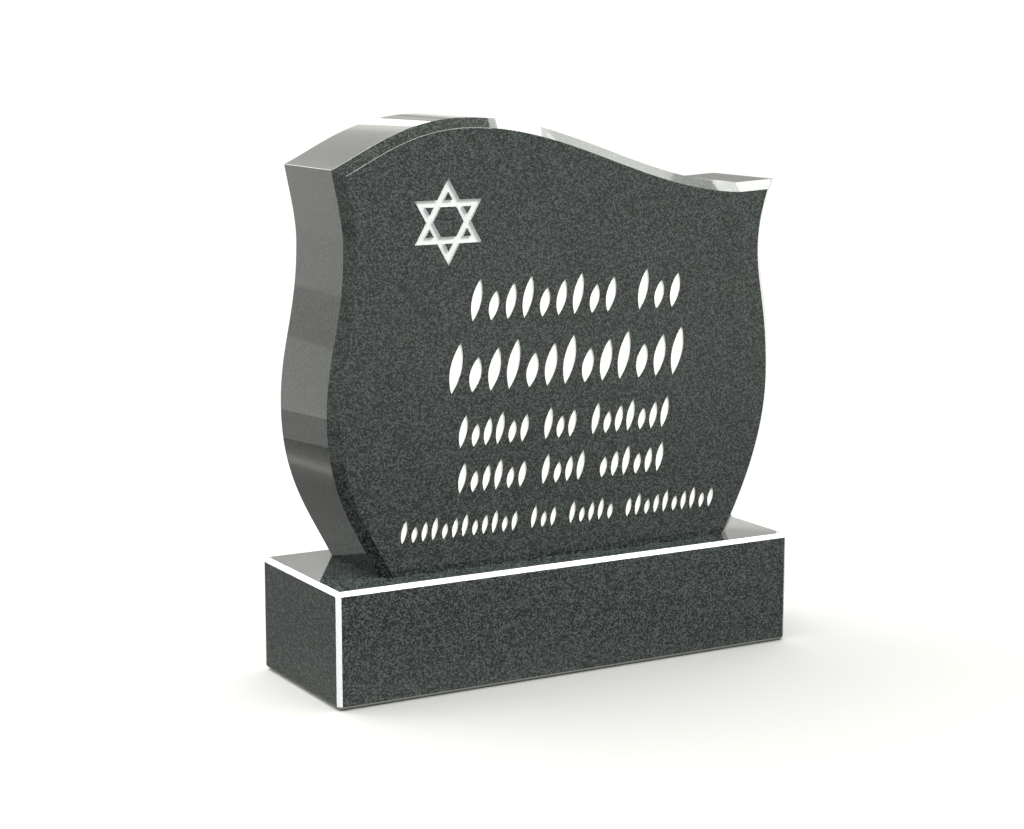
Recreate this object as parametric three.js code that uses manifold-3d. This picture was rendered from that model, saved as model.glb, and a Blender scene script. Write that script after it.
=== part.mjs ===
// Upright headstone: a polished granite tablet with a serpentine top, standing on a chamfered granite base.
// Millimetres, +Z up, X to the right along the base, Y to the back. The origin is the middle of the
// base's underside, and the carved face looks along -Y.
import * as THREE from "three";
import { ConvexGeometry } from "three/addons/geometries/ConvexGeometry.js";
import { mergeVertices } from "three/addons/utils/BufferGeometryUtils.js";
import Module from "manifold-3d";

// The base is a sawn block, 36 by 12 by 8 inches, with the same chamfer along every edge.
const BASE_WIDTH = 914.4;
const BASE_DEPTH = 304.8;
const BASE_HEIGHT = 203.2;
const BASE_CHAMFER = 8;

// The tablet is 8 inches thick, with a 45 degree bevel around its face that runs off at the foot.
const TABLET_THICKNESS = 203.2;
const TABLET_BEVEL = 16.5;

// The tablet's outline is three sawn stretches, clockwise as seen from the front. Each station has its
// place, x from the middle of the base and z from the foot, and the handles of the curve beside it.
const LEFT_SIDE = [
  { station: "foot", at: [-347, 0], leave: [-47, 90] },
  { station: "bulge", at: [-440, 275], arrive: [0, -125], leave: [0, 106] },
  { station: "neck", at: [-406, 559], arrive: [0, -125], leave: [0, 42] },
  { station: "corner", at: [-426, 688], arrive: [7, -40] },
];
const TOP = [
  { station: "left corner", at: [-426, 688], leave: [58, 25] },
  { station: "crown", at: [-179, 768], arrive: [-117, 0], leave: [202, 0] },
  { station: "dip", at: [372, 641], arrive: [-202, 10], leave: [28, 1] },
  { station: "right corner", at: [456, 645], arrive: [-28, -1] },
];
const RIGHT_SIDE = [
  { station: "corner", at: [456, 645], leave: [-4, -20] },
  { station: "neck", at: [430, 523], arrive: [0, 60], leave: [0, -65] },
  { station: "bulge", at: [453, 292], arrive: [0, 120], leave: [0, -95] },
  { station: "foot", at: [363, 0], arrive: [56, 100] },
];
const CURVE_STEPS = 20; // straight pieces in the curve between two stations
const SAW_RUN_ON = 150; // how far a saw cut is carried straight on past both of its ends
const SAW_REACH = 1200; // how far the stone behind a saw cut reaches, well past its other side

// The star is two crossed triangles of even bars, sunk into the upper left of the face.
const STAR_CENTRE = { x: -219.5, z: 596.5 };
const STAR_RADIUS = 73;
const STAR_BAR = 11.5;
const STAR_DEPTH = 5;

// Five rows of leaning, leaf-shaped strokes, all shallow. words gives the strokes in each group of a row,
// and one stroke's room is left free between two groups. z is the foot of the strokes.
const ROWS = [
  { z: 426, height: 72, left: -183, right: 252, words: [9, 3] },
  { z: 305, height: 86, left: -225, right: 260, words: [13] },
  { z: 211, height: 56, left: -205, right: 228, words: [6, 3, 7] },
  { z: 132, height: 53, left: -207, right: 218, words: [6, 4, 6] },
  { z: 56, height: 40, left: -317, right: 327, words: [12, 3, 5, 10] },
];
const STROKE_DEPTH = 2.5;
const STROKE_WIDTH = 0.26; // of the row's height
const STROKE_LEAN = Math.tan(THREE.MathUtils.degToRad(12));
const STROKE_TALLNESS = [1, 0.7, 0.86]; // of the row's height, taken in turn along a row
const STROKE_STEPS = 6;

const GRANITE = { color: 0x3c4240, roughness: 0.15, metalness: 0 };
const CUT_CLEARANCE = 20; // how far a cutter stands out of the stone that it cuts

const wasm = await Module();
wasm.setup();

// Solids and meshes

function solidFrom(geometry) {
  const bare = geometry.clone();
  bare.deleteAttribute("normal");
  bare.deleteAttribute("uv");
  const merged = mergeVertices(bare);
  return new wasm.Manifold(
    new wasm.Mesh({
      numProp: 3,
      vertProperties: merged.attributes.position.array,
      triVerts: new Uint32Array(merged.index.array),
    }),
  );
}

function meshFrom(name, solid) {
  const { vertProperties, triVerts } = solid.getMesh();
  const geometry = new THREE.BufferGeometry();
  geometry.setAttribute("position", new THREE.BufferAttribute(vertProperties, 3));
  geometry.setIndex(new THREE.BufferAttribute(triVerts, 1));
  geometry.computeVertexNormals();
  const mesh = new THREE.Mesh(geometry, new THREE.MeshStandardMaterial(GRANITE));
  mesh.name = name;
  return mesh;
}

// Closed skin over rings of equal length, each { points, y }, from the front to the back.
function loft(rings) {
  const count = rings[0].points.length;
  const corners = rings.flatMap(({ points, y }) => points.flatMap((p) => [p.x, y, p.y]));
  const faces = [];
  for (let ring = 0; ring + 1 < rings.length; ring++) {
    for (let i = 0; i < count; i++) {
      const a = ring * count + i;
      const b = ring * count + ((i + 1) % count);
      faces.push(a, b, a + count, b, b + count, a + count);
    }
  }
  const back = (rings.length - 1) * count;
  for (const [a, b, c] of THREE.ShapeUtils.triangulateShape(rings[0].points, [])) {
    faces.push(a, b, c);
  }
  for (const [a, b, c] of THREE.ShapeUtils.triangulateShape(rings.at(-1).points, [])) {
    faces.push(back + a, back + c, back + b);
  }
  const geometry = new THREE.BufferGeometry();
  geometry.setAttribute("position", new THREE.Float32BufferAttribute(corners, 3));
  geometry.setIndex(faces);
  return geometry;
}

// Base

function chamferedBlock(width, depth, height, chamfer) {
  const half = [width / 2, depth / 2, height / 2];
  const signs = [-1, 1];
  const corners = [];
  for (const axis of [0, 1, 2]) {
    for (const sx of signs) {
      for (const sy of signs) {
        for (const sz of signs) {
          const reach = half.map((h, i) => (i === axis ? h : h - chamfer));
          corners.push(new THREE.Vector3(sx * reach[0], sy * reach[1], sz * reach[2]));
        }
      }
    }
  }
  return new ConvexGeometry(corners).translate(0, 0, height / 2);
}

// Tablet

// A stretch of the outline as points, carried straight on at both ends and closed far inside the stone.
function sawLoop(stations, inwards) {
  const spot = ({ at }, [dx, dz] = [0, 0]) => new THREE.Vector2(at[0] + dx, at[1] + dz);
  const runOn = (station, handle) =>
    spot(station).addScaledVector(new THREE.Vector2(...handle).normalize(), -SAW_RUN_ON);
  const path = new THREE.CurvePath();
  stations.slice(1).forEach((end, i) => {
    const start = stations[i];
    path.add(
      new THREE.CubicBezierCurve(spot(start), spot(start, start.leave), spot(end, end.arrive), spot(end)),
    );
  });
  const first = runOn(stations[0], stations[0].leave);
  const last = runOn(stations.at(-1), stations.at(-1).arrive);
  const far = (end) => end.clone().addScaledVector(inwards, SAW_REACH);
  return [first, ...path.getPoints(CURVE_STEPS), last, far(last), far(first)];
}

// The same loop of points moved inwards, mitred where it turns.
function inset(points, distance) {
  const count = points.length;
  return points.map((point, i) => {
    const before = point.clone().sub(points[(i + count - 1) % count]).normalize();
    const after = points[(i + 1) % count].clone().sub(point).normalize();
    const mitre = new THREE.Vector2(before.y + after.y, -before.x - after.x);
    return point.clone().addScaledVector(mitre, distance / (1 + before.dot(after)));
  });
}

// A solid that sinks shapes, drawn in x and z, into the tablet's face to a depth.
function faceCutter(shapes, depth) {
  const geometry = new THREE.ExtrudeGeometry(shapes, {
    depth: depth + CUT_CLEARANCE,
    bevelEnabled: false,
    curveSegments: STROKE_STEPS,
  });
  geometry.translate(0, 0, -depth);
  geometry.rotateX(Math.PI / 2);
  geometry.translate(0, -TABLET_THICKNESS / 2, 0);
  return solidFrom(geometry);
}

// One triangle of the star as a frame of even bars. direction is where it points, in degrees from +X.
function starTriangle(direction) {
  const loop = (radius) =>
    [0, 120, 240].map((turn) => {
      const angle = THREE.MathUtils.degToRad(direction + turn);
      return new THREE.Vector2(
        STAR_CENTRE.x + radius * Math.cos(angle),
        STAR_CENTRE.z + radius * Math.sin(angle),
      );
    });
  const triangle = new THREE.Shape(loop(STAR_RADIUS));
  triangle.holes.push(new THREE.Path(loop(STAR_RADIUS - 2 * STAR_BAR)));
  return triangle;
}

function stroke(x, z, height, width) {
  const lean = height * STROKE_LEAN;
  const foot = x - lean / 2;
  const leaf = new THREE.Shape();
  leaf.moveTo(foot, z);
  leaf.quadraticCurveTo(x + width, z + height / 2, foot + lean, z + height);
  leaf.quadraticCurveTo(x - width, z + height / 2, foot, z);
  return leaf;
}

function rowOfStrokes({ z, height, left, right, words }) {
  const rooms = words.reduce((sum, strokes) => sum + strokes, words.length - 1);
  const pitch = (right - left) / rooms;
  const strokes = [];
  let room = 0;
  for (const word of words) {
    for (let i = 0; i < word; i++) {
      const tall = height * STROKE_TALLNESS[strokes.length % STROKE_TALLNESS.length];
      strokes.push(stroke(left + (room + 0.5) * pitch, z, tall, height * STROKE_WIDTH));
      room += 1;
    }
    room += 1;
  }
  return strokes;
}

// The stone on the inner side of one saw cut, with the bevel along its front.
function sawnStone(stations, inwards) {
  const outer = sawLoop(stations, inwards);
  const face = -TABLET_THICKNESS / 2;
  return solidFrom(
    loft([
      { points: inset(outer, TABLET_BEVEL), y: face },
      { points: outer, y: face + TABLET_BEVEL },
      { points: outer, y: TABLET_THICKNESS / 2 },
    ]),
  );
}

function tabletSolid() {
  const leftCut = sawnStone(LEFT_SIDE, new THREE.Vector2(1, 0));
  const topCut = sawnStone(TOP, new THREE.Vector2(0, -1));
  const rightCut = sawnStone(RIGHT_SIDE, new THREE.Vector2(-1, 0));
  const stone = leftCut.intersect(topCut).intersect(rightCut);
  const belowFoot = new THREE.BoxGeometry(SAW_REACH, BASE_DEPTH, SAW_RUN_ON);
  belowFoot.translate(0, 0, -SAW_RUN_ON / 2);
  const [up, down] = [90, -90].map((direction) => faceCutter([starTriangle(direction)], STAR_DEPTH));
  const strokes = faceCutter(ROWS.flatMap(rowOfStrokes), STROKE_DEPTH);
  return stone.subtract(solidFrom(belowFoot)).subtract(up.add(down)).subtract(strokes);
}

const base = meshFrom("base", solidFrom(chamferedBlock(BASE_WIDTH, BASE_DEPTH, BASE_HEIGHT, BASE_CHAMFER)));
const tablet = meshFrom("tablet", tabletSolid());
tablet.position.z = BASE_HEIGHT;

const headstone = new THREE.Group();
headstone.add(base, tablet);

export default headstone;
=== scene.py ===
"""Polished granite headstone with a serpentine top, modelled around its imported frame.

Metres, +Z up, X to the right along the base, Y to the back. The carved face looks along -Y.
"""

import math

import bmesh
import bpy
from bpy.props import FloatProperty, FloatVectorProperty, IntProperty, PointerProperty
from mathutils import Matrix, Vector


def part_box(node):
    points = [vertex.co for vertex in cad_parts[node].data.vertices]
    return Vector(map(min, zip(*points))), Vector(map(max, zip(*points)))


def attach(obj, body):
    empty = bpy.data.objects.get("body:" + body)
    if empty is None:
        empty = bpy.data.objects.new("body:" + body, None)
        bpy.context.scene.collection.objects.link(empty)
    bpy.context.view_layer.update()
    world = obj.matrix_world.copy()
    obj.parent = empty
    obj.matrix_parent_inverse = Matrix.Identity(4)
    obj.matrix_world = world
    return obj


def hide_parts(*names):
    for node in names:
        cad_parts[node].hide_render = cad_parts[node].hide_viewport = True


bl_info = {
    "name": "Granite Headstone",
    "version": (1, 0, 0),
    "blender": (4, 5, 0),
    "location": "View3D > Sidebar > Headstone",
    "description": "Models a serpentine-top granite headstone on its chamfered base",
    "category": "Add Mesh",
}

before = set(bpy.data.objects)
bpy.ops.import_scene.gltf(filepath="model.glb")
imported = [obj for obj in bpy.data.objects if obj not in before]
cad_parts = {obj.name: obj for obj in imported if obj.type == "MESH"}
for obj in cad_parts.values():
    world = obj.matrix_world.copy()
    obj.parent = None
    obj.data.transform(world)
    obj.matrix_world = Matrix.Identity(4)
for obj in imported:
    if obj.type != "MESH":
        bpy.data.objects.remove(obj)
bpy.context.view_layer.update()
BASE_LOW, BASE_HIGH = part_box("base")
TABLET_LOW, TABLET_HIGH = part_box("tablet")
FOOT = TABLET_LOW.z
FACE = TABLET_LOW.y
BACK = TABLET_HIGH.y

# The tablet's outline is three sawn stretches, clockwise as seen from the front. Each station has its
# place, x from the middle of the base and z from the foot, and the handles of the curve beside it.
LEFT_SIDE = (
    {"station": "foot", "at": (-0.347, 0.0), "leave": (-0.047, 0.090)},
    {"station": "bulge", "at": (-0.440, 0.275), "arrive": (0.0, -0.125), "leave": (0.0, 0.106)},
    {"station": "neck", "at": (-0.406, 0.559), "arrive": (0.0, -0.125), "leave": (0.0, 0.042)},
    {"station": "corner", "at": (-0.426, 0.688), "arrive": (0.007, -0.040)},
)
TOP = (
    {"station": "left corner", "at": (-0.426, 0.688), "leave": (0.058, 0.025)},
    {"station": "crown", "at": (-0.179, 0.768), "arrive": (-0.117, 0.0), "leave": (0.202, 0.0)},
    {"station": "dip", "at": (0.372, 0.641), "arrive": (-0.202, 0.010), "leave": (0.028, 0.001)},
    {"station": "right corner", "at": (0.456, 0.645), "arrive": (-0.028, -0.001)},
)
RIGHT_SIDE = (
    {"station": "corner", "at": (0.456, 0.645), "leave": (-0.004, -0.020)},
    {"station": "neck", "at": (0.430, 0.523), "arrive": (0.0, 0.060), "leave": (0.0, -0.065)},
    {"station": "bulge", "at": (0.453, 0.292), "arrive": (0.0, 0.120), "leave": (0.0, -0.095)},
    {"station": "foot", "at": (0.363, 0.0), "arrive": (0.056, 0.100)},
)
SAW_RUN_ON = 0.15  # how far a saw cut is carried straight on past both of its ends
SAW_REACH = 1.2  # how far the stone behind a saw cut reaches, well past its other side
SAW_PROUD = 0.02  # how far the side cuts stand out in front of the face and behind the back

# Five rows of leaning, leaf-shaped strokes. words gives the strokes in each group of a row, and one
# stroke's room is left free between two groups. z is the foot of the strokes, from the tablet's foot.
ROWS = (
    {"z": 0.426, "height": 0.072, "left": -0.183, "right": 0.252, "words": (9, 3)},
    {"z": 0.305, "height": 0.086, "left": -0.225, "right": 0.260, "words": (13,)},
    {"z": 0.211, "height": 0.056, "left": -0.205, "right": 0.228, "words": (6, 3, 7)},
    {"z": 0.132, "height": 0.053, "left": -0.207, "right": 0.218, "words": (6, 4, 6)},
    {"z": 0.056, "height": 0.040, "left": -0.317, "right": 0.327, "words": (12, 3, 5, 10)},
)
STROKE_TALLNESS = (1.0, 0.7, 0.86)  # of the row's height, taken in turn along a row
CUT_CLEARANCE = 0.02  # how far a cutter stands out of the stone that it cuts

SAME_PLACE = 1e-5  # points closer than this are one point
MITRE_STEP = 0.0015  # shorter edges, which the saw cuts leave where they meet, are closed up
SHARP = math.radians(14)  # edges that turn more than this stay crisp
ARRIS_TURN = math.radians(30)  # edges of the tablet that turn more than this get an arris
QUADRATIC = 2 / 3  # how far a cubic curve's handles reach to the point that a quadratic one bends towards

# The grains of the stone, in order from dark to pale.
DARK_GRAINS = 0.35  # share of the grains that are wholly dark
GREY_GRAINS = 0.55  # share of the grains up to the middle grey, past which they grow paler

# Of two values for a finish, the first is for the dark grains or for the hollows of its pattern, and the
# second for the pale grains or for the ridges. Widths and heights are real ones.
POLISHED_IOR = 1.52
POLISHED_ROUGHNESS = (0.055, 0.025)
POLISHING_WAVE = {"width": 0.006, "height": 0.00001, "strength": 0.5, "detail": 1.0}

BROKEN_IOR = 1.5
BROKEN_ROUGHNESS = (0.80, 0.90)
BROKEN_SPECKLE = (0.12, 0.02)  # how much of a grain's own colour shows
BROKEN_GRIT = {"width": 0.002, "height": 0.0003, "strength": 0.4, "detail": 2.0}

SAWN_ROUGHNESS = (0.55, 0.75)
SAWN_SPECKLE = 0.35  # how much of the grains' own colour shows
# The saw marks' width is that of three marks, because a wave node draws about three in one unit.
SAW_MARKS = {"width": 0.05, "height": 0.0002, "strength": 0.3, "detail": 2.0, "wander": 1.5}
# Painted shade: the sawn stone's lowest millimetres are darkened as a painted contact shadow along the
# floor.
CONTACT_SHADE_HEIGHT = (0.002, 0.006)  # where the painted contact shadow is at its darkest, and where it ends
CONTACT_SHADE_DARKNESS = 0.9

PAINT_ROUGHNESS = (0.45, 0.65)
PAINT_SHADE = 0.95  # how bright the paint's ridges are beside its hollows
BRUSH_MARKS = {"width": 0.009, "height": 0.0002, "strength": 0.3, "detail": 3.0}

# The Mix node has sockets of one name for each kind of value. These are the places of those for colours.
MIX_FIRST = 6
MIX_SECOND = 7
MIXED = 2

# The studio's glow by height above the horizon, in degrees, where 1 is white. The second number is the
# glow behind the stone, in the bands that its sides and top mirror, and the third the glow in front of it.
STUDIO_GLOW = (
    (-90, 0.50, 0.25),
    (-50, 0.50, 0.25),
    (-42, 0.42, 0.30),
    (-28, 0.34, 0.35),
    (-24, 0.40, 0.50),
    (-21.5, 0.55, 0.81),
    (-20.2, 1.05, 0.98),
    (-18.5, 0.60, 1.00),
    (-17, 0.50, 0.95),
    (-15, 0.36, 0.58),
    (-13, 0.40, 0.72),
    (-11, 0.42, 0.82),
    (-8, 0.42, 1.05),
    (2.6, 0.42, 1.00),
    (3.4, 0.92, 1.00),
    (5, 0.88, 1.00),
    (7, 0.47, 1.00),
    (9, 0.85, 1.00),
    (12, 0.82, 1.05),
    (16, 1.70, 1.08),
    (18.2, 1.50, 1.10),
    (19.3, 1.20, 1.10),
    (40, 1.22, 1.15),
    (60, 1.15, 1.15),
    (90, 1.05, 1.05),
)

# The groups of pieces that a panel may light alone.
LIT_ALONE = {"stone": ("stone_base", "stone_tablet"), "base": ("stone_base",)}

# The studio's light panels. glow is how bright a panel's surface looks, where 1 is white. A panel lights
# all of the studio, or only lights the matt look of the stone or its base, or only shows in the polish.
PANELS = (
    {
        "name": "key",
        "place": (1.1, -2.66, 3.58),
        "aim": (-0.1, -0.1, 0.75),
        "size": (2.0, 1.0),
        "glow": 35.0,
        "lights": "stone",
    },
    {
        "name": "left_fill",
        "place": (-2.6, -2.6, 0.7),
        "aim": (-0.3, -0.1, 0.45),
        "size": (1.2, 1.2),
        "glow": 9.0,
        "lights": "stone",
    },
    {
        "name": "top_light",
        "place": (-0.3, -0.6, 3.2),
        "aim": (-0.3, -0.6, 0.0),
        "size": (2.5, 0.8),
        "glow": 17.0,
        "lights": "base",
    },
    {
        "name": "left_top",
        "place": (-1.5, -0.3, 2.6),
        "aim": (-0.4, 0.0, 0.2),
        "size": (1.0, 1.0),
        "glow": 55.0,
        "lights": "base",
    },
    {
        "name": "front_glint",
        "place": (0.9, -3.2, 3.2),
        "aim": (-0.1, -0.1, 0.75),
        "size": (2.6, 0.8),
        "glow": 14.0,
        "lights": "polish",
    },
    {
        "name": "corner_glint",
        "place": (-1.37, 3.05, 1.94),
        "aim": (-0.43, 0.0, 0.89),
        "size": (0.6, 0.5),
        "glow": 9.0,
        "lights": "polish",
    },
    {
        "name": "rim_glint",
        "place": (-0.3, 1.3, 3.5),
        "aim": (-0.38, -0.085, 0.93),
        "size": (0.9, 0.5),
        "glow": 11.0,
        "lights": "polish",
    },
    {
        "name": "left_bank",
        "place": (-1.4, 1.7, 3.2),
        "aim": (-0.2, 0.0, 0.2),
        "size": (2.5, 2.0),
        "glow": 2.0,
        "lights": "all",
    },
    {
        "name": "left_wall",
        "place": (-1.15, 2.0, 0.385),
        "aim": (-0.42, 0.0, 0.385),
        "size": (1.4, 0.56),
        "glow": 0.97,
        "lights": "polish",
    },
    {
        "name": "left_wall_foot",
        "place": (-1.15, 2.0, -0.03),
        "aim": (-0.42, 0.0, -0.03),
        "size": (1.4, 0.26),
        "glow": 0.45,
        "lights": "polish",
    },
    {
        "name": "left_wall_top",
        "place": (-1.15, 2.0, 0.725),
        "aim": (-0.42, 0.0, 0.725),
        "size": (1.4, 0.12),
        "glow": 0.68,
        "lights": "polish",
    },
    {
        "name": "left_window",
        "place": (-5.2, 14.0, 7.9),
        "aim": (-0.42, 0.0, 0.9),
        "size": (4.4, 2.4),
        "glow": 14.0,
        "lights": "polish",
    },
    {
        "name": "foot_window",
        "place": (-0.85, 3.6, 2.1),
        "aim": (-0.36, 0.1, 0.2),
        "size": (1.0, 0.75),
        "glow": 1.6,
        "lights": "polish",
    },
    {
        "name": "crown_strip",
        "place": (2.67, 5.3, 1.06),
        "aim": (-0.15, 0.0, 0.97),
        "size": (1.5, 0.45),
        "glow": 0.6,
        "lights": "polish",
    },
    {
        "name": "right_window_start",
        "place": (0.93, -0.1, 2.5),
        "aim": (0.93, -0.1, 0.0),
        "size": (0.08, 1.0),
        "glow": 6.0,
        "lights": "polish",
    },
    {
        "name": "right_window",
        "place": (1.22, -0.1, 2.5),
        "aim": (1.22, -0.1, 0.0),
        "size": (0.5, 1.0),
        "glow": 15.5,
        "lights": "polish",
    },
    {
        "name": "right_window_end",
        "place": (1.51, -0.33, 2.5),
        "aim": (1.51, -0.33, 0.0),
        "size": (0.08, 0.54),
        "glow": 15.5,
        "lights": "polish",
    },
    {
        "name": "right_window_fade",
        "place": (1.51, 0.17, 2.5),
        "aim": (1.51, 0.17, 0.0),
        "size": (0.08, 0.46),
        "glow": 7.5,
        "lights": "polish",
    },
    {
        "name": "right_window_side",
        "place": (1.695, -0.25, 2.5),
        "aim": (1.695, -0.25, 0.0),
        "size": (0.29, 0.7),
        "glow": 9.6,
        "lights": "polish",
    },
    {
        "name": "right_window_edge",
        "place": (2.145, -0.25, 2.5),
        "aim": (2.145, -0.25, 0.0),
        "size": (0.61, 0.7),
        "glow": 2.4,
        "lights": "polish",
    },
    {
        "name": "right_window_far",
        "place": (2.0, 0.25, 2.5),
        "aim": (2.0, 0.25, 0.0),
        "size": (0.9, 0.3),
        "glow": 5.3,
        "lights": "polish",
    },
    {
        "name": "right_strip",
        "place": (0.92, 0.27, 0.40),
        "aim": (0.43, -0.09, 0.40),
        "size": (0.3, 0.80),
        "glow": 1.85,
        "lights": "polish",
    },
    {
        "name": "back_strip",
        "place": (1.3, 3.5, 1.91),
        "aim": (-0.25, 0.0, 0.96),
        "size": (3.0, 0.28),
        "glow": 2.5,
        "lights": "polish",
    },
    {
        "name": "back_low",
        "place": (3.3, 3.5, 1.1),
        "aim": (0.44, 0.0, 0.2),
        "size": (0.8, 0.25),
        "glow": 0.82,
        "lights": "polish",
    },
)
BEFORE_TO_BEHIND = (-0.25, 0.25)  # where, along Y of a direction, the front glow passes into the back glow


def linear(hex_colour):
    """Linear red, green and blue of an sRGB hex colour."""
    channels = [int(hex_colour[i : i + 2], 16) / 255 for i in (0, 2, 4)]
    return tuple(c / 12.92 if c <= 0.04045 else ((c + 0.055) / 1.055) ** 2.4 for c in channels)


# Settings


class BaseSettings(bpy.types.PropertyGroup):
    """Sizes of the base."""

    chamfer: FloatProperty(
        name="Chamfer",
        description="How much the chamfer takes off each face beside an edge",
        default=0.008,
        unit="LENGTH",
    )
    arris: FloatProperty(
        name="Arris",
        description="Width of the fine edge between a chamfer and a polished face",
        default=0.0005,
        unit="LENGTH",
    )


class TabletSettings(bpy.types.PropertyGroup):
    """Sizes of the tablet and of its carving."""

    bevel: FloatProperty(
        name="Bevel",
        description="How much the bevel round the face takes off the face and the sides",
        default=0.0165,
        unit="LENGTH",
    )
    arris: FloatProperty(
        name="Arris",
        description="Width of the fine edge where two polished faces meet",
        default=0.0004,
        unit="LENGTH",
    )
    curve_steps: IntProperty(
        name="Curve steps",
        description="Straight pieces in the outline between two stations",
        default=28,
    )
    star_centre: FloatVectorProperty(
        name="Star centre",
        description="Middle of the star, from the middle of the base and from the tablet's foot",
        default=(-0.2195, 0.5965),
        size=2,
        unit="LENGTH",
    )
    star_radius: FloatProperty(
        name="Star radius",
        description="From the middle of the star to its points",
        default=0.073,
        unit="LENGTH",
    )
    star_bar: FloatProperty(
        name="Star bar",
        description="Width of the star's bars",
        default=0.0115,
        unit="LENGTH",
    )
    star_depth: FloatProperty(
        name="Star depth",
        description="How deep the star is sunk",
        default=0.005,
        unit="LENGTH",
    )
    stroke_depth: FloatProperty(
        name="Stroke depth",
        description="How deep the strokes are cut",
        default=0.0025,
        unit="LENGTH",
    )
    stroke_width: FloatProperty(
        name="Stroke width",
        description="Widest part of a stroke, as a share of its row's height",
        default=0.26,
        subtype="FACTOR",
    )
    stroke_lean: FloatProperty(
        name="Stroke lean",
        description="How far the strokes lean to the right",
        default=math.radians(12),
        subtype="ANGLE",
    )
    stroke_steps: IntProperty(
        name="Stroke steps",
        description="Straight pieces along each side of a stroke",
        default=12,
    )


class FinishSettings(bpy.types.PropertyGroup):
    """Colours and grain of the stone."""

    grain: FloatProperty(
        name="Grain",
        description="Size of one mineral grain",
        default=0.0022,
        unit="LENGTH",
    )
    dark_mineral: FloatVectorProperty(
        name="Dark mineral",
        description="Colour of the hornblende and mica",
        default=linear("070A0A"),
        subtype="COLOR",
    )
    grey_mineral: FloatVectorProperty(
        name="Grey mineral",
        description="Colour of the grey-green feldspar that makes up most of the stone",
        default=linear("222726"),
        subtype="COLOR",
    )
    pale_mineral: FloatVectorProperty(
        name="Pale mineral",
        description="Colour of the paler quartz grains",
        default=linear("3D4443"),
        subtype="COLOR",
    )
    polish_tint: FloatVectorProperty(
        name="Polish tint",
        description="Tint of what the polish mirrors when it is seen straight on",
        default=linear("F9FFFD"),
        subtype="COLOR",
    )
    frost: FloatVectorProperty(
        name="Frost",
        description="Colour of the frosted chamfers",
        default=linear("B5B8BC"),
        subtype="COLOR",
    )
    blasted: FloatVectorProperty(
        name="Blasted",
        description="Colour of the stone where it is deeply sandblasted",
        default=linear("C0C3C4"),
        subtype="COLOR",
    )
    sawn: FloatVectorProperty(
        name="Sawn",
        description="Colour of the stone where it is left as the saw cut it",
        default=linear("B2B6B2"),
        subtype="COLOR",
    )
    paint: FloatVectorProperty(
        name="Paint",
        description="Colour of the paint in the strokes",
        default=linear("D9D9D7"),
        subtype="COLOR",
    )


class StageSettings(bpy.types.PropertyGroup):
    """Camera and floor."""

    eye: FloatVectorProperty(
        name="Eye",
        description="Where the camera stands",
        default=(-2.02085, -3.47445, 1.13027),
        subtype="TRANSLATION",
        unit="LENGTH",
    )
    aim: FloatVectorProperty(
        name="Aim",
        description="The point in the middle of the picture",
        default=(-0.0398, 0.0, 0.4433),
        subtype="TRANSLATION",
        unit="LENGTH",
    )
    lens: FloatProperty(
        name="Lens",
        description="Focal length in millimetres on a sensor 36 mm wide",
        default=80.61,
        unit="CAMERA",
    )
    floor_size: FloatProperty(
        name="Floor size",
        description="Length of the floor's sides",
        default=1200.0,
        unit="LENGTH",
    )
    floor_slope: FloatProperty(
        name="Floor slope",
        description="Width of the floor's far edge that slopes up, as a studio's floor does behind the set",
        default=540.0,
        unit="LENGTH",
    )
    floor_rise: FloatProperty(
        name="Floor rise",
        description="How far the floor's far edge rises, so that it ends above the picture",
        default=20.0,
        unit="LENGTH",
    )
    light_colour: FloatVectorProperty(
        name="Light colour",
        description="Colour of the studio's glow and of its panels",
        default=(1.0, 0.99, 0.94),
        subtype="COLOR",
    )
    floor_colour: FloatVectorProperty(
        name="Floor colour",
        description="Colour of the floor",
        default=linear("F9FAFB"),
        subtype="COLOR",
    )


# Finishes


def add_node(tree, kind, settings=None, inputs=None):
    """Adds one node with its settings, and sets its inputs or links them to other nodes' outputs."""
    node = tree.nodes.new(kind)
    for name, value in (settings or {}).items():
        if name == "stops":
            elements = node.color_ramp.elements
            while len(elements) < len(value):
                elements.new(1.0)
            for element, (position, colour) in zip(elements, value):
                element.position = position
                element.color = (*colour, 1.0)
        else:
            setattr(node, name, value)
    for name, value in (inputs or {}).items():
        if isinstance(value, bpy.types.NodeSocket):
            tree.links.new(value, node.inputs[name])
        else:
            node.inputs[name].default_value = value
    return node


def new_finish(name):
    """A new material, its node tree and its shader."""
    finish = bpy.data.materials.new(name)
    finish.use_nodes = True
    return finish, finish.node_tree, finish.node_tree.nodes["Principled BSDF"]


def pattern_inputs(place, pattern):
    """What a texture node needs to draw a pattern at its real width."""
    return {"Vector": place, "Scale": 1 / pattern["width"], "Detail": pattern["detail"]}


def relief_inputs(height, pattern):
    """What a bump node needs to raise a pattern to its real height."""
    return {"Height": height, "Distance": pattern["height"], "Strength": pattern["strength"]}


def mineral_grain(tree, settings):
    """The salt and pepper of the stone: place on the stone, colour, and a number from 0 to 1 for each grain.

    Real grains are about a millimetre across. They are drawn twice as large, so that they show.
    """
    place = add_node(tree, "ShaderNodeTexCoord").outputs["Object"]
    grains = add_node(
        tree,
        "ShaderNodeTexVoronoi",
        inputs={"Vector": place, "Scale": 1 / settings.grain, "Randomness": 1.0},
    )
    lot = add_node(tree, "ShaderNodeSeparateColor", inputs={"Color": grains.outputs["Color"]})
    minerals = add_node(
        tree,
        "ShaderNodeValToRGB",
        settings={
            "stops": (
                (0.0, settings.dark_mineral),
                (DARK_GRAINS, settings.dark_mineral),
                (GREY_GRAINS, settings.grey_mineral),
                (1.0, settings.pale_mineral),
            )
        },
        inputs={"Fac": lot.outputs["Red"]},
    )
    return place, minerals.outputs["Color"], lot.outputs["Red"]


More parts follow.
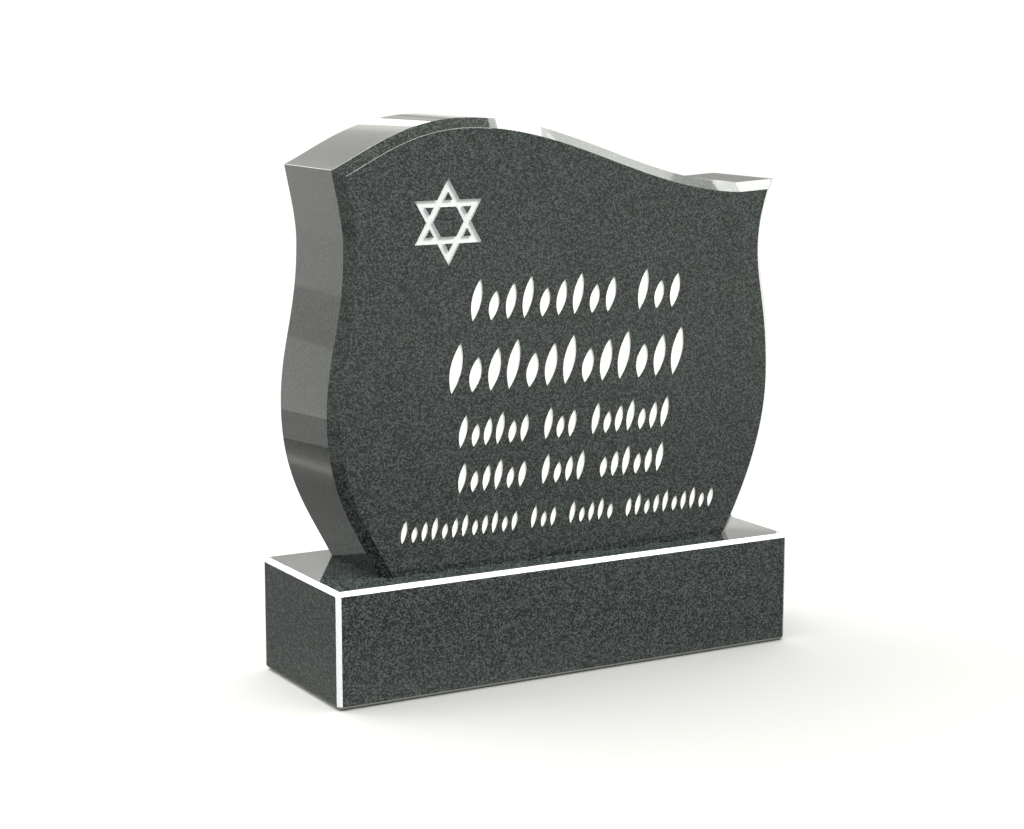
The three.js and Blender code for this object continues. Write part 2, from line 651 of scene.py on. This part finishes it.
def polished_dark_granite(settings):
    """Fine dark granite, ground and polished to a mirror.

    The eye sees a grey-green salt and pepper under a clear gloss that mirrors the studio at low angles.
    """
    finish, tree, shader = new_finish("polished_dark_granite")
    place, colour, lot = mineral_grain(tree, settings)
    tree.links.new(colour, shader.inputs["Base Color"])
    soft, hard = POLISHED_ROUGHNESS
    gloss = add_node(tree, "ShaderNodeMapRange", inputs={"Value": lot, "To Min": soft, "To Max": hard})
    tree.links.new(gloss.outputs["Result"], shader.inputs["Roughness"])
    shader.inputs["IOR"].default_value = POLISHED_IOR
    shader.inputs["Specular Tint"].default_value = (*settings.polish_tint, 1.0)
    wave = add_node(tree, "ShaderNodeTexNoise", inputs=pattern_inputs(place, POLISHING_WAVE))
    bump = add_node(tree, "ShaderNodeBump", inputs=relief_inputs(wave.outputs["Fac"], POLISHING_WAVE))
    tree.links.new(bump.outputs["Normal"], shader.inputs["Normal"])
    return finish


def broken_grain(name, bright, settings):
    """Granite whose surface is broken up: pale, dull and gritty, with a faint speckle of its grains."""
    finish, tree, shader = new_finish(name)
    place, colour, lot = mineral_grain(tree, settings)
    most, least = BROKEN_SPECKLE
    speckle = add_node(tree, "ShaderNodeMapRange", inputs={"Value": lot, "To Min": most, "To Max": least})
    frost = add_node(
        tree,
        "ShaderNodeMix",
        settings={"data_type": "RGBA"},
        inputs={"Factor": speckle.outputs["Result"], MIX_FIRST: (*bright, 1.0), MIX_SECOND: colour},
    )
    tree.links.new(frost.outputs[MIXED], shader.inputs["Base Color"])
    low, high = BROKEN_ROUGHNESS
    rough = add_node(tree, "ShaderNodeMapRange", inputs={"Value": lot, "To Min": low, "To Max": high})
    tree.links.new(rough.outputs["Result"], shader.inputs["Roughness"])
    shader.inputs["IOR"].default_value = BROKEN_IOR
    grit = add_node(tree, "ShaderNodeTexNoise", inputs=pattern_inputs(place, BROKEN_GRIT))
    bump = add_node(tree, "ShaderNodeBump", inputs=relief_inputs(grit.outputs["Fac"], BROKEN_GRIT))
    tree.links.new(bump.outputs["Normal"], shader.inputs["Normal"])
    return finish


def frosted_granite(settings):
    """The chamfers of the base: frosted white, so that they draw its edges."""
    return broken_grain("frosted_granite", settings.frost, settings)


def sandblasted_granite(settings):
    """The floor and the walls of the sunk star: blasted with sand, a little paler than the chamfers."""
    return broken_grain("sandblasted_granite", settings.blasted, settings)


def sawn_granite(settings):
    """The same granite as the saw left it: dull, paler than the polish, with faint parallel saw marks.

    Its lowest few millimetres are darkened with painted shade, a painted contact shadow where it meets the
    floor.
    """
    finish, tree, shader = new_finish("sawn_granite")
    place, colour, _ = mineral_grain(tree, settings)
    dull = add_node(
        tree,
        "ShaderNodeMix",
        settings={"data_type": "RGBA"},
        inputs={"Factor": SAWN_SPECKLE, MIX_FIRST: (*settings.sawn, 1.0), MIX_SECOND: colour},
    )
    height = add_node(tree, "ShaderNodeSeparateXYZ", inputs={"Vector": place}).outputs["Z"]
    painted_contact_shade = add_node(
        # Painted shade: darker towards the bottom, a painted contact shadow where the base meets the floor.
        tree,
        "ShaderNodeMapRange",
        inputs={
            "Value": height,
            "From Min": CONTACT_SHADE_HEIGHT[0],
            "From Max": CONTACT_SHADE_HEIGHT[1],
            "To Min": CONTACT_SHADE_DARKNESS,
            "To Max": 0.0,
        },
    )
    shaded_sole = add_node(
        tree,
        "ShaderNodeMix",
        settings={"data_type": "RGBA"},
        inputs={
            "Factor": painted_contact_shade.outputs["Result"],
            MIX_FIRST: dull.outputs[MIXED],
            MIX_SECOND: (*settings.dark_mineral, 1.0),
        },
    )
    tree.links.new(shaded_sole.outputs[MIXED], shader.inputs["Base Color"])
    marks = add_node(
        tree,
        "ShaderNodeTexWave",
        inputs={**pattern_inputs(place, SAW_MARKS), "Distortion": SAW_MARKS["wander"]},
    ).outputs["Fac"]
    low, high = SAWN_ROUGHNESS
    rough = add_node(tree, "ShaderNodeMapRange", inputs={"Value": marks, "To Min": low, "To Max": high})
    tree.links.new(rough.outputs["Result"], shader.inputs["Roughness"])
    shader.inputs["IOR"].default_value = BROKEN_IOR
    bump = add_node(tree, "ShaderNodeBump", inputs=relief_inputs(marks, SAW_MARKS))
    tree.links.new(bump.outputs["Normal"], shader.inputs["Normal"])
    return finish


def white_stone_paint(settings):
    """Opaque white enamel, brushed into the cut strokes and wiped level: nearly even, with little gloss."""
    finish, tree, shader = new_finish("white_stone_paint")
    place = add_node(tree, "ShaderNodeTexCoord").outputs["Object"]
    brush = add_node(tree, "ShaderNodeTexNoise", inputs=pattern_inputs(place, BRUSH_MARKS)).outputs["Fac"]
    shade = add_node(
        tree,
        "ShaderNodeMix",
        settings={"data_type": "RGBA"},
        inputs={
            "Factor": brush,
            MIX_FIRST: (*settings.paint, 1.0),
            MIX_SECOND: (*(PAINT_SHADE * c for c in settings.paint), 1.0),
        },
    )
    tree.links.new(shade.outputs[MIXED], shader.inputs["Base Color"])
    low, high = PAINT_ROUGHNESS
    rough = add_node(tree, "ShaderNodeMapRange", inputs={"Value": brush, "To Min": low, "To Max": high})
    tree.links.new(rough.outputs["Result"], shader.inputs["Roughness"])
    bump = add_node(tree, "ShaderNodeBump", inputs=relief_inputs(brush, BRUSH_MARKS))
    tree.links.new(bump.outputs["Normal"], shader.inputs["Normal"])
    return finish


FINISHES = {
    "polished": polished_dark_granite,
    "frosted": frosted_granite,
    "blasted": sandblasted_granite,
    "sawn": sawn_granite,
    "painted": white_stone_paint,
}


def finish_named(name):
    """One of the stone's finishes, made when it is first asked for and then shared by the pieces."""
    make = FINISHES[name]
    return bpy.data.materials.get(make.__name__) or make(bpy.context.scene.headstone_finish)


# Modelling


def stand_alone(name):
    """Names the object that was just added, and leaves only that one selected."""
    piece = bpy.context.object
    bpy.ops.object.select_all(action="DESELECT")
    piece.select_set(True)
    piece.name = name
    return piece


def pick(piece, kind, test):
    """In edit mode, selects the verts, edges or faces that pass the test, and nothing else."""
    bpy.ops.mesh.select_mode(type={"verts": "VERT", "edges": "EDGE", "faces": "FACE"}[kind])
    bpy.ops.mesh.select_all(action="DESELECT")
    mesh = bmesh.from_edit_mesh(piece.data)
    for element in getattr(mesh, kind):
        if test(element):
            element.select_set(True)
    bmesh.update_edit_mesh(piece.data)


def extrude(by):
    """In edit mode, extrudes what is selected."""
    bpy.ops.mesh.extrude_region_move(TRANSFORM_OT_translate={"value": tuple(by)})


def apply_modifier(piece, kind, **settings):
    """Adds a modifier to the piece and applies it."""
    bpy.context.view_layer.objects.active = piece
    modifier = piece.modifiers.new(kind.lower(), kind)
    for name, value in settings.items():
        setattr(modifier, name, value)
    bpy.ops.object.modifier_apply(modifier=modifier.name)


def combine(piece, cutter, operation):
    """Cuts the piece with another object, which is then thrown away. The cut takes the cutter's finish."""
    apply_modifier(
        piece,
        "BOOLEAN",
        operation=operation,
        solver="EXACT",
        object=cutter,
        material_mode="TRANSFER",
    )
    bpy.data.objects.remove(cutter, do_unlink=True)
    piece.select_set(True)


def finish_piece(piece, node):
    """Ties a finished piece to the frame in place of its CAD node."""
    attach(piece, "root")
    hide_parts(node)


def square_to_axes(direction):
    """True for a direction along X, Y or Z."""
    return max(abs(part) for part in direction) > math.cos(SHARP)


def looks_down(direction):
    """True for a direction that slopes well down."""
    return direction.z < -math.sin(SHARP)


def assign_finish(piece, name):
    """In edit mode, gives the selected faces one of the stone's finishes."""
    finish = finish_named(name)
    if finish.name not in piece.data.materials:
        piece.data.materials.append(finish)
    piece.active_material_index = piece.data.materials.find(finish.name)
    bpy.ops.object.material_slot_assign()


def make_base(settings):
    """A block with every edge chamfered: polished faces, frosted chamfers, and sawn underneath, where the
    sawn finish on the lower chamfers is partly painted shade.
    """
    bpy.ops.mesh.primitive_cube_add(
        size=1,
        location=(BASE_LOW + BASE_HIGH) / 2,
        scale=BASE_HIGH - BASE_LOW,
    )
    base = stand_alone("stone_base")
    bpy.ops.object.transform_apply(location=True, rotation=True, scale=True)
    base.data.materials.append(finish_named("polished"))
    bpy.ops.object.mode_set(mode="EDIT")
    bpy.ops.mesh.select_all(action="SELECT")
    bpy.ops.mesh.bevel(offset=settings.chamfer, segments=1, affect="EDGES")
    pick(base, "faces", lambda face: not square_to_axes(face.normal))
    assign_finish(base, "frosted")
    # The faces that look down take the sawn finish, darker than the frost. The underside is really sawn; on
    # the lower chamfers the darker colour is painted shade where they face the floor.
    pick(base, "faces", lambda face: looks_down(face.normal))
    assign_finish(base, "sawn")
    bpy.ops.mesh.select_mode(type="EDGE")
    bpy.ops.mesh.select_all(action="SELECT")
    bpy.ops.mesh.bevel(offset=settings.arris, segments=1, affect="EDGES")
    bpy.ops.object.mode_set(mode="OBJECT")
    bpy.ops.object.shade_smooth_by_angle(angle=SHARP)
    return base


def saw_spot(station, y, handle=None):
    """A station of the outline, or the end of one of its handles, at a depth."""
    x, z = station["at"]
    dx, dz = station.get(handle, (0.0, 0.0))
    return Vector((x + dx, y, FOOT + z + dz))


def sawn_stone(stations, inwards, proud, settings):
    """The stone on the inner side of one saw cut, with the bevel along its front."""
    front = FACE - proud
    bpy.ops.curve.primitive_bezier_curve_add(location=(0, 0, 0))
    stone = stand_alone("sawn_stone")
    stone.data.dimensions = "3D"
    stone.data.resolution_u = settings.curve_steps
    points = stone.data.splines[0].bezier_points
    points.add(len(stations) - len(points))
    for point, station in zip(points, stations):
        point.handle_left_type = "FREE"
        point.handle_right_type = "FREE"
        point.co = saw_spot(station, front)
        point.handle_left = saw_spot(station, front, "arrive")
        point.handle_right = saw_spot(station, front, "leave")
    bpy.ops.object.convert(target="MESH")

    bpy.ops.object.mode_set(mode="EDIT")
    far_ends = []
    for station, handle in ((stations[0], "leave"), (stations[-1], "arrive")):
        end = saw_spot(station, front)
        away = (end - saw_spot(station, front, handle)).normalized() * SAW_RUN_ON
        pick(stone, "verts", lambda vert: (vert.co - end).length < SAME_PLACE)
        extrude(away)
        far_ends.append(end + away)
    line = [vert.co.copy() for vert in bmesh.from_edit_mesh(stone.data).verts]
    for end in far_ends:
        pick(stone, "verts", lambda vert: (vert.co - end).length < SAME_PLACE)
        extrude(inwards * SAW_REACH)
    bpy.ops.mesh.select_all(action="SELECT")
    bpy.ops.mesh.edge_face_add()
    extrude((0, BACK + proud - front, 0))
    bpy.ops.mesh.select_all(action="SELECT")
    bpy.ops.mesh.normals_make_consistent(inside=False)

    def on_line(vert):
        return any((vert.co - point).length < SAME_PLACE for point in line)

    pick(stone, "edges", lambda edge: on_line(edge.verts[0]) and on_line(edge.verts[1]))
    bpy.ops.mesh.bevel(
        offset=settings.bevel + proud,
        segments=1,
        affect="EDGES",
        clamp_overlap=False,
    )
    bpy.ops.object.mode_set(mode="OBJECT")
    return stone


def star_triangle(turn, settings):
    """One triangle of the star, a frame of even bars that reaches from its floor out of the face."""
    x, z = settings.star_centre
    bpy.ops.mesh.primitive_circle_add(
        vertices=3,
        radius=settings.star_radius,
        fill_type="NGON",
        location=(x, FACE + settings.star_depth, FOOT + z),
        rotation=(math.pi / 2, turn, 0),
    )
    triangle = stand_alone("star_triangle")
    bpy.ops.object.transform_apply(location=True, rotation=True, scale=True)
    triangle.data.materials.append(finish_named("blasted"))
    bpy.ops.object.mode_set(mode="EDIT")
    bpy.ops.mesh.select_mode(type="FACE")
    bpy.ops.mesh.select_all(action="SELECT")
    bpy.ops.mesh.inset(thickness=settings.star_bar)
    bpy.ops.mesh.delete(type="FACE")
    bpy.ops.mesh.select_all(action="SELECT")
    extrude((0, -settings.star_depth - CUT_CLEARANCE, 0))
    bpy.ops.mesh.select_all(action="SELECT")
    bpy.ops.mesh.normals_make_consistent(inside=False)
    bpy.ops.object.mode_set(mode="OBJECT")
    return triangle


def strokes_of(row, settings):
    """The strokes of a row, each as its foot, its tip and the two points that its sides bend towards."""
    rooms = sum(row["words"]) + len(row["words"]) - 1
    pitch = (row["right"] - row["left"]) / rooms
    belly = Vector((row["height"] * settings.stroke_width, 0.0))
    strokes = []
    room = 0
    for word in row["words"]:
        for _ in range(word):
            tall = row["height"] * STROKE_TALLNESS[len(strokes) % len(STROKE_TALLNESS)]
            half = Vector((tall * math.tan(settings.stroke_lean), tall)) / 2
            middle = Vector((row["left"] + (room + 0.5) * pitch, row["z"] + tall / 2))
            strokes.append((middle - half, middle + half, middle + belly, middle - belly))
            room += 1
        room += 1
    return strokes


def stroke_cutters(settings):
    """All the strokes as one object of leaf-shaped cutters that stand out of the face."""
    bpy.ops.curve.primitive_bezier_curve_add(location=(0, 0, 0))
    cutters = stand_alone("stroke_cutters")
    curve = cutters.data
    curve.splines.clear()
    curve.dimensions = "2D"
    curve.fill_mode = "BOTH"
    curve.resolution_u = settings.stroke_steps
    curve.extrude = (settings.stroke_depth + CUT_CLEARANCE) / 2
    for row in ROWS:
        for foot, tip, right, left in strokes_of(row, settings):
            leaf = curve.splines.new("BEZIER")
            leaf.use_cyclic_u = True
            leaf.bezier_points.add(1)
            for point, at, before, after in zip(
                leaf.bezier_points, (foot, tip), (left, right), (right, left)
            ):
                point.handle_left_type = "FREE"
                point.handle_right_type = "FREE"
                point.co = at.to_3d()
                point.handle_left = at.lerp(before, QUADRATIC).to_3d()
                point.handle_right = at.lerp(after, QUADRATIC).to_3d()
    bpy.ops.object.convert(target="MESH")
    cutters.rotation_euler = (math.pi / 2, 0, 0)
    cutters.location = (0, FACE + (settings.stroke_depth - CUT_CLEARANCE) / 2, FOOT)
    bpy.ops.object.transform_apply(location=True, rotation=True, scale=True)
    cutters.data.materials.clear()
    cutters.data.materials.append(finish_named("painted"))
    bpy.ops.object.mode_set(mode="EDIT")
    bpy.ops.mesh.select_all(action="SELECT")
    bpy.ops.mesh.remove_doubles(threshold=SAME_PLACE)
    bpy.ops.mesh.normals_make_consistent(inside=False)
    bpy.ops.object.mode_set(mode="OBJECT")
    return cutters


def sawn_slab(settings):
    """The slab that three saw cuts leave, with its bevel and its arrises, cut off level at a sawn foot."""
    slab = sawn_stone(TOP, Vector((0, 0, -1)), 0.0, settings)
    slab.data.materials.append(finish_named("polished"))
    for stations, inwards in ((LEFT_SIDE, Vector((1, 0, 0))), (RIGHT_SIDE, Vector((-1, 0, 0)))):
        combine(slab, sawn_stone(stations, inwards, SAW_PROUD, settings), "INTERSECT")
    bpy.ops.object.mode_set(mode="EDIT")
    bpy.ops.mesh.select_all(action="SELECT")
    bpy.ops.mesh.remove_doubles(threshold=MITRE_STEP)
    bpy.ops.object.mode_set(mode="OBJECT")
    apply_modifier(
        slab,
        "BEVEL",
        width=settings.arris,
        segments=1,
        limit_method="ANGLE",
        angle_limit=ARRIS_TURN,
    )
    bpy.ops.object.mode_set(mode="EDIT")
    bpy.ops.mesh.select_all(action="SELECT")
    bpy.ops.mesh.bisect(
        plane_co=(0, 0, FOOT),
        plane_no=(0, 0, 1),
        use_fill=True,
        clear_inner=True,
    )
    pick(slab, "faces", lambda face: square_to_axes(face.normal) and looks_down(face.normal))
    assign_finish(slab, "sawn")
    bpy.ops.object.mode_set(mode="OBJECT")
    return slab


def make_tablet(settings):
    """The upright slab with its carving: the sunk star and the rows of strokes."""
    tablet = sawn_slab(settings)
    tablet.name = "stone_tablet"
    for turn in (0.0, math.pi):
        combine(tablet, star_triangle(turn, settings), "DIFFERENCE")
    combine(tablet, stroke_cutters(settings), "DIFFERENCE")
    bpy.ops.object.shade_smooth_by_angle(angle=SHARP)
    return tablet


# Stage


def light_studio(colour):
    """A world that glows by height, as a wide white studio does."""
    world = bpy.data.worlds.new("white_studio")
    bpy.context.scene.world = world
    world.use_nodes = True
    tree = world.node_tree
    place = add_node(tree, "ShaderNodeTexCoord").outputs["Generated"]
    direction = add_node(tree, "ShaderNodeSeparateXYZ", inputs={"Vector": place})
    height = add_node(tree, "ShaderNodeMapRange", inputs={"Value": direction.outputs["Z"], "From Min": -1.0})
    # A ramp's colours end at 1, so they are shares of the brightest glow, and the strength makes up for it.
    brightest = max(max(glows) for _, *glows in STUDIO_GLOW)
    behind, before = (
        add_node(
            tree,
            "ShaderNodeValToRGB",
            settings={
                "stops": [
                    ((math.sin(math.radians(angle)) + 1) / 2, [glows[side] / brightest * c for c in colour])
                    for angle, *glows in STUDIO_GLOW
                ]
            },
            inputs={"Fac": height.outputs["Result"]},
        ).outputs["Color"]
        for side in (0, 1)
    )
    depth = add_node(
        tree,
        "ShaderNodeMapRange",
        inputs={
            "Value": direction.outputs["Y"],
            "From Min": BEFORE_TO_BEHIND[0],
            "From Max": BEFORE_TO_BEHIND[1],
        },
    )
    glow = add_node(
        tree,
        "ShaderNodeMix",
        settings={"data_type": "RGBA"},
        inputs={"Factor": depth.outputs["Result"], MIX_FIRST: before, MIX_SECOND: behind},
    )
    background = tree.nodes["Background"]
    background.inputs["Strength"].default_value = brightest
    tree.links.new(glow.outputs[MIXED], background.inputs["Color"])


def hang_panel(panel, colour, receivers):
    """A rectangular light panel that faces its aim."""
    place = Vector(panel["place"])
    turn = (Vector(panel["aim"]) - place).to_track_quat("-Z", "Y").to_euler()
    bpy.ops.object.light_add(type="AREA", location=place, rotation=turn)
    light = bpy.context.object
    light.name = panel["name"]
    light.data.shape = "RECTANGLE"
    light.data.size, light.data.size_y = panel["size"]
    light.data.color = colour
    light.data.energy = panel["glow"] * math.pi * math.prod(panel["size"])
    light.visible_diffuse = panel["lights"] != "polish"
    light.visible_glossy = panel["lights"] not in receivers
    light.light_linking.receiver_collection = receivers.get(panel["lights"])


def hang_panels(colour):
    """All the light panels, with the pieces that some of them light alone."""
    receivers = {name: bpy.data.collections.new(name) for name in LIT_ALONE}
    for name, pieces in LIT_ALONE.items():
        for piece in pieces:
            receivers[name].objects.link(bpy.data.objects[piece])
    for panel in PANELS:
        hang_panel(panel, colour, receivers)


def lay_floor(settings):
    """A wide matt floor that is level round the stone and slopes up far away.

    What it would mirror or throw back on the stone is in the studio's glow, so only the camera sees it.
    """
    bpy.ops.mesh.primitive_plane_add(size=settings.floor_size)
    floor = stand_alone("floor")
    bpy.ops.object.mode_set(mode="EDIT")
    bpy.ops.mesh.select_all(action="SELECT")
    bpy.ops.mesh.inset(thickness=settings.floor_slope)
    pick(floor, "verts", lambda vert: vert.is_boundary)
    bpy.ops.transform.translate(value=(0, 0, settings.floor_rise))
    bpy.ops.object.mode_set(mode="OBJECT")
    finish, _, shader = new_finish("matt_floor")
    shader.inputs["Base Color"].default_value = (*settings.floor_colour, 1.0)
    shader.inputs["Roughness"].default_value = 1.0
    shader.inputs["Specular IOR Level"].default_value = 0.0
    floor.data.materials.append(finish)
    floor.visible_glossy = False
    floor.visible_diffuse = False


def stand_camera(settings):
    """The camera, in front of the stone and to its left, a little higher than its top."""
    aim = Vector(settings.aim) - Vector(settings.eye)
    bpy.ops.object.camera_add(location=settings.eye, rotation=aim.to_track_quat("-Z", "Y").to_euler())
    camera = bpy.context.object
    camera.data.sensor_fit = "HORIZONTAL"
    camera.data.lens = settings.lens
    bpy.context.scene.camera = camera


def set_stage(settings):
    """Lights, floor and camera."""
    bpy.context.scene.view_settings.view_transform = "Standard"
    light_studio(settings.light_colour)
    hang_panels(settings.light_colour)
    lay_floor(settings)
    stand_camera(settings)


# Operators and panel


class HEADSTONE_OT_base(bpy.types.Operator):
    """Make the chamfered base"""

    bl_idname = "headstone.make_base"
    bl_label = "Make Base"

    def execute(self, context):
        finish_piece(make_base(context.scene.headstone_base), "base")
        return {"FINISHED"}


class HEADSTONE_OT_tablet(bpy.types.Operator):
    """Make the carved tablet"""

    bl_idname = "headstone.make_tablet"
    bl_label = "Make Tablet"

    def execute(self, context):
        finish_piece(make_tablet(context.scene.headstone_tablet), "tablet")
        return {"FINISHED"}


class HEADSTONE_OT_stage(bpy.types.Operator):
    """Set up the floor, the lights and the camera"""

    bl_idname = "headstone.set_stage"
    bl_label = "Set Stage"

    def execute(self, context):
        set_stage(context.scene.headstone_stage)
        return {"FINISHED"}


class HEADSTONE_PT_panel(bpy.types.Panel):
    """Lists the headstone's operators and settings"""

    bl_idname = "HEADSTONE_PT_panel"
    bl_label = "Headstone"
    bl_space_type = "VIEW_3D"
    bl_region_type = "UI"
    bl_category = "Headstone"

    def draw(self, context):
        for group, operator in (
            ("headstone_base", HEADSTONE_OT_base),
            ("headstone_tablet", HEADSTONE_OT_tablet),
            ("headstone_finish", None),
            ("headstone_stage", HEADSTONE_OT_stage),
        ):
            box = self.layout.box()
            settings = getattr(context.scene, group)
            for name in settings.__annotations__:
                box.prop(settings, name)
            if operator:
                box.operator(operator.bl_idname)


SETTINGS = {
    "headstone_base": BaseSettings,
    "headstone_tablet": TabletSettings,
    "headstone_finish": FinishSettings,
    "headstone_stage": StageSettings,
}
CLASSES = (
    *SETTINGS.values(),
    HEADSTONE_OT_base,
    HEADSTONE_OT_tablet,
    HEADSTONE_OT_stage,
    HEADSTONE_PT_panel,
)


def register():
    """Registers the classes and gives every scene its settings."""
    for cls in CLASSES:
        bpy.utils.register_class(cls)
    for name, group in SETTINGS.items():
        setattr(bpy.types.Scene, name, PointerProperty(type=group))


def unregister():
    """Takes the settings and the classes away again."""
    for name in SETTINGS:
        delattr(bpy.types.Scene, name)
    for cls in reversed(CLASSES):
        bpy.utils.unregister_class(cls)


def main():
    """Makes the stone and its stage."""
    register()
    bpy.ops.object.select_all(action="DESELECT")
    bpy.ops.headstone.make_base()
    bpy.ops.headstone.make_tablet()
    bpy.ops.headstone.set_stage()


if __name__ == "__main__":
    main()
